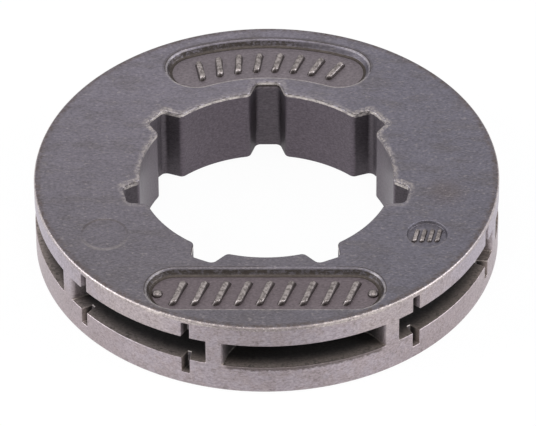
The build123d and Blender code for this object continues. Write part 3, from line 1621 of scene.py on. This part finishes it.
    def lips(self, place: Place, colour: Socket) -> Socket:
        """Paints highlights on the near lips of the panels, and a line of painted shade beyond the curved
        panel's far lip.

        Args:
            place: Where the point lies.
            colour: The colour so far.

        Returns:
            The colour.
        """
        graph, casting = place.graph, place.casting
        high, middle = casting.thickness, casting.rear_panel_middle
        inside, outside = casting.front_panel_inside, casting.front_panel_outside
        on_top = graph.rise(place.z, high - 0.1, high - 0.03)
        off_front, off_rear = place.off_front_panel(), place.off_rear_panel()
        in_front = graph.rise(place.y, -inside - 2.3, -outside + 0.6, high=self.front_lip_highlight)
        by_bore = graph.rise(place.radius, middle + 0.3, middle - 1.2, high=self.rear_lip_highlight)
        # Painted highlight on the near lips.
        for off, near in ((off_front, in_front), (off_rear, by_bore)):
            colour = graph.coat(colour, self.pale, on_top, place.within(off, 0.02, 0.15, 0.08), near)
        # Painted shade beyond the curved panel's far lip.
        far = graph.rise(place.radius, middle, middle + 1.4, high=self.brow_shade)
        return graph.coat(colour, self.grime_and_shade, on_top, far, place.within(off_rear, 0.14, 0.28, 0.06))

    def edges(self, place: Place, colour: Socket) -> Socket:
        """Brightens the edges with wear and painted highlight: a broken line round the rim, weaker in front
        and far out at the sides, and each rounded edge by its shine, which under 0 darkens it with dirt and
        painted shade.

        Args:
            place: Where the point lies.
            colour: The colour so far.

        Returns:
            The colour.
        """
        graph, casting = place.graph, place.casting
        rim, high = casting.rim_radius, casting.thickness
        line = graph.times(
            graph.rise(place.ragged(place.radius, 7.0, 0.2), rim - 0.04, rim + 0.06),
            graph.rise(place.ragged(place.z, 3.0, 0.3), high - 0.22, high - 0.1),
        )
        # Painted highlight with wear along the rim line, weaker in front and far out at the sides.
        strength = graph.times(
            graph.ramp(place.aside, self.line_middle), graph.ramp(place.aside, self.line_sides)
        )
        # The rim line is first darkened to brown, which shows where the bright line is broken.
        colour = graph.coat(colour, self.brown, line, self.line_darkening)
        colour = graph.coat(colour, self.bright, line, place.speckle(self.line_breaks), strength)
        colour = graph.coat(colour, self.crest, line, place.speckle(self.line_specks))
        # Rounded edges by their shine: over 0 wear with a painted highlight, under 0 dirt with painted shade.
        shine = graph.node("ShaderNodeAttribute", attribute_name="rubbed").outputs["Fac"]
        colour = graph.coat(colour, self.grime_and_shade, graph.math("MAXIMUM", graph.times(shine, -1.0), 0.0))
        rub_and_highlight = EDGE_RUB_AND_HIGHLIGHT.use(graph, Point=place.point, Edge=graph.math("MAXIMUM", shine, 0.0))["Rub"]
        return graph.coat(colour, self.rubbed, rub_and_highlight)

    def fringe(self, place: Place, colour: Socket) -> Socket:
        """Puts the ragged brown fringe on the lower edge of the front pocket's mouth.

        Args:
            place: Where the point lies.
            colour: The colour so far.

        Returns:
            The colour.
        """
        graph, casting = place.graph, place.casting
        rim, low = casting.rim_radius, casting.lower_rim
        return graph.coat(
            colour, self.brown,
            place.within(place.ragged(place.z, 3.5, 0.5), low + 0.05, low + 0.6, 0.16),
            graph.rise(place.z, low + 0.08, low + 0.03),
            graph.rise(place.radius, rim - 0.12, rim - 0.07),
            graph.rise(place.wave(casting.pocket_count, casting.first_pocket), -0.96, -0.88),
            graph.ramp(place.away(casting.front_pocket), self.fringe_reach),
        )

    def bore_crest(self, place: Place, colour: Socket) -> Socket:
        """Paints a ragged highlight, the bright crest of a burr, under the bore's top edge towards the front
        and rear and on the grooves' flanks, with a broken dark line over it.

        Args:
            place: Where the point lies.
            colour: The colour so far.

        Returns:
            The colour.
        """
        graph, casting = place.graph, place.casting
        high = casting.thickness
        flank = place.within(place.radius, casting.bore_radius + 0.15, casting.groove_radius - 0.15)
        where = graph.math("MAXIMUM", graph.ramp(place.along, self.crest_ends), flank)
        near_bore = graph.rise(place.off_bore(place.radius), 0.2, 0.12)
        where = graph.times(graph.mix(where, 0.1, 1.0), near_bore)
        line = place.within(place.z, high - 0.09, high - 0.02, 0.02)
        colour = graph.coat(colour, self.grime_and_shade, where, line, place.speckle(self.crest_dark_spots))
        level = graph.math("MULTIPLY_ADD", flank, 0.08, place.ragged(place.z, 4.0, 0.14))
        under = graph.rise(place.z, high - 0.05, high - 0.09)
        # Painted highlight of the burr's crest.
        crest = graph.times(where, place.within(level, high - 0.19, high + 0.02, 0.05), under)
        return graph.coat(colour, self.crest, crest, place.speckle(self.crest_breaks))


@dataclass(frozen=True)
class ReliefSteel:
    """The raised marks' finish: tops bright from wear and painted highlight over a foot darkened by painted
    shade, between two shares of their height.
    """

    foot: Colour = (0.075, 0.062, 0.059)
    crown: Colour = (0.33, 0.290, 0.280)
    foot_share: float = 0.25
    crown_share: float = 0.95
    grain_contrast: float = 1.0
    grain_base: float = 0.5
    metallic: float = 0.8
    roughness: float = 0.36

    def material(self, name: str, floor: float, height: float) -> bpy.types.Material:
        """Builds the material.

        Args:
            name: Name of the material.
            floor: Height of the floor that the marks stand on, in millimetres.
            height: Height of the marks over that floor.

        Returns:
            The material.
        """
        material, graph = Graph.of_material(name)
        point = graph.point()
        level = graph.split(point)[2]
        skin = CAST_GRAIN.use(graph, Point=point)
        low, high = floor + self.foot_share * height, floor + self.crown_share * height
        # Painted shade at the foot, painted highlight with wear towards the top.
        rub_and_highlight = EDGE_RUB_AND_HIGHLIGHT.use(graph, Point=point, Edge=graph.rise(level, low, high))["Rub"]
        tone = graph.math("MULTIPLY_ADD", skin["Grain"], self.grain_contrast, self.grain_base)
        shader = material.node_tree.nodes["Principled BSDF"]
        graph.put(shader.inputs["Base Color"], graph.scale(graph.coat(self.foot, self.crown, rub_and_highlight), tone))
        shader.inputs["Roughness"].default_value = self.roughness
        shader.inputs["Metallic"].default_value = self.metallic
        return material


@dataclass(frozen=True)
class Lamp:
    """A soft square lamp that points at the object; lengths are in metres."""

    name: str
    place: Triple
    power: float
    tint: Colour = (1.0, 1.0, 1.0)
    size: float = 0.35

    def hang(self) -> None:
        """Adds the lamp to the scene."""
        data = bpy.data.lights.new(self.name, "AREA")
        data.size = self.size
        data.energy = self.power
        data.color = self.tint
        lamp = bpy.data.objects.new(self.name, data)
        lamp.location = self.place
        lamp.rotation_euler = Vector(self.place).to_track_quat("Z", "Y").to_euler()
        bpy.context.scene.collection.objects.link(lamp)


COOL_LIGHT: Colour = (0.90, 0.935, 1.0)


@dataclass
class Studio:
    """Floor, lamps, background and the camera of the photograph.

    Angles are in degrees. The camera's distance and the dim spot of the floor, which the metal mirrors, are
    in millimetres, and the floor's size and gap in metres.
    """

    elevation: float = 40.52
    azimuth: float = 270.78
    distance: float = 447.9
    lens: float = 398.2
    sensor: float = 36.0
    roll: float = -0.524
    shift_x: float = 0.00226
    shift_y: float = -0.01408
    fill: float = 0.4
    floor_size: float = 6.0
    floor_gap: float = 0.00002
    floor_roughness: float = 0.9
    floor_grey: Colour = (0.92, 0.92, 0.92)
    dim_grey: Colour = (0.34, 0.34, 0.34)
    dim_spot: Triple = (0.0, -26.0, 0.0)
    dim_reach: Ramp = Ramp(14.0, 3.0)
    floor_white: float = 0.94
    floor_mirrored: float = 0.62
    floor_dim: float = 0.34
    lamps: tuple[Lamp, ...] = (
        Lamp("top_lamp", (0.0, -0.1, 0.6), 1.6),
        Lamp("left_lamp", (-0.5, -0.05, 0.25), 2.3, COOL_LIGHT),
        Lamp("right_lamp", (0.5, -0.05, 0.25), 2.1, COOL_LIGHT),
    )

    def build(self, middle: float) -> None:
        """Sets the scene up round an object on the origin.

        Args:
            middle: Height of the object's middle, in metres.
        """
        self.camera(middle)
        self.world()
        self.floor()
        for lamp in self.lamps:
            lamp.hang()
        bpy.context.scene.view_settings.view_transform = "Standard"

    def camera(self, middle: float) -> None:
        """Puts the camera where the photograph was taken from.

        Args:
            middle: Height of the object's middle, in metres.
        """
        up = math.radians(self.elevation)
        around = math.radians(self.azimuth)
        back = Vector((math.cos(up) * math.cos(around), math.cos(up) * math.sin(around), math.sin(up)))
        data = bpy.data.cameras.new("photo_camera")
        data.lens = self.lens
        data.sensor_width = self.sensor
        data.sensor_fit = "HORIZONTAL"
        data.shift_x = self.shift_x
        data.shift_y = self.shift_y
        data.clip_start = 0.01
        data.clip_end = 20.0
        camera = bpy.data.objects.new("photo_camera", data)
        bpy.context.scene.collection.objects.link(camera)
        camera.location = Vector((0, 0, middle)) + back * self.distance * MM
        roll = Matrix.Rotation(math.radians(self.roll), 3, "Z")
        camera.rotation_euler = (back.to_track_quat("Z", "Y").to_matrix() @ roll).to_euler()
        bpy.context.scene.camera = camera

    def world(self) -> None:
        """Makes a white background, which metal sees too, and a plain fill light."""
        world = bpy.data.worlds.new("studio")
        world.use_nodes = True
        bpy.context.scene.world = world
        graph = Graph(world.node_tree)
        rays = graph.node("ShaderNodeLightPath").outputs
        seen = graph.math("MAXIMUM", rays["Is Camera Ray"], rays["Is Glossy Ray"])
        seen = graph.math("MAXIMUM", seen, rays["Is Transmission Ray"])
        background = world.node_tree.nodes["Background"]
        background.inputs["Color"].default_value = (1, 1, 1, 1)
        graph.put(background.inputs["Strength"], graph.mix(seen, self.fill, 1.0))

    def floor_material(self) -> bpy.types.Material:
        """Makes the white of the floor, which is darker where the rim's front mirrors it.

        Returns:
            The material.
        """
        material, graph = Graph.of_material("white_floor")
        rays = graph.node("ShaderNodeLightPath").outputs
        seen_in_metal = graph.math("MAXIMUM", rays["Is Glossy Ray"], rays["Is Transmission Ray"])
        in_front = graph.ramp(graph.distance(graph.point(), self.dim_spot), self.dim_reach)
        mirrored = graph.times(seen_in_metal, graph.mix(in_front, self.floor_mirrored, self.floor_dim))
        share = graph.math("MAXIMUM", graph.times(rays["Is Camera Ray"], self.floor_white), mirrored)
        shader = material.node_tree.nodes["Principled BSDF"]
        white = graph.coat(self.floor_grey, self.dim_grey, seen_in_metal, in_front)
        graph.put(shader.inputs["Base Color"], white)
        shader.inputs["Roughness"].default_value = self.floor_roughness
        light = graph.node("ShaderNodeEmission")
        both = graph.node("ShaderNodeMixShader")
        for socket, value in zip(both.inputs, (share, shader.outputs[0], light.outputs[0])):
            graph.put(socket, value)
        graph.put(material.node_tree.nodes["Material Output"].inputs["Surface"], both.outputs[0])
        return material

    def floor(self) -> None:
        """Lays a white floor just under the object, which keeps the object's shadow."""
        bpy.ops.object.select_all(action="DESELECT")
        bpy.ops.mesh.primitive_plane_add(size=self.floor_size, location=(0, 0, -self.floor_gap))
        floor = bpy.context.object
        floor.name = "studio_floor"
        floor.data.materials.append(self.floor_material())


def main() -> None:
    """Builds the casting, its relief and the studio, and reports each piece."""
    logging.basicConfig(level=logging.INFO, format="%(message)s")
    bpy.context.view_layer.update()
    low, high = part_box("rim_sprocket")
    bore = next(mount for mount in frame["record"]["mounts"] if mount["name"] == "spline_bore")
    casting = RimCasting(
        rim_radius=(high[0] - low[0]) / 2 / MM,
        thickness=(high[2] - low[2]) / MM,
        bore_radius=bore["dims"]["r_mm"],
    )
    panel_floor = casting.thickness - casting.panel_depth
    seal_floor = casting.thickness - casting.seal_mark.depth
    relief = PanelRelief(panel_floor, seal_floor)
    steel = casting.build()
    steel.data.materials.append(CastSteel().material(casting))
    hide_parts("rim_sprocket")
    marks = relief.build()
    raised = ReliefSteel().material("panel_relief", panel_floor, relief.front_bar[2])
    sealed = ReliefSteel().material("seal_relief", seal_floor, relief.seal_bar[2])
    for mark, finish in zip(marks, (raised, raised, sealed)):
        mark.data.materials.append(finish)
    for piece in (steel, *marks):
        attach(piece, "root")
        log.info("%s: %d faces", piece.name, len(piece.data.polygons))
    Studio().build((high[2] + low[2]) / 2)


if __name__ == "__main__":
    main()
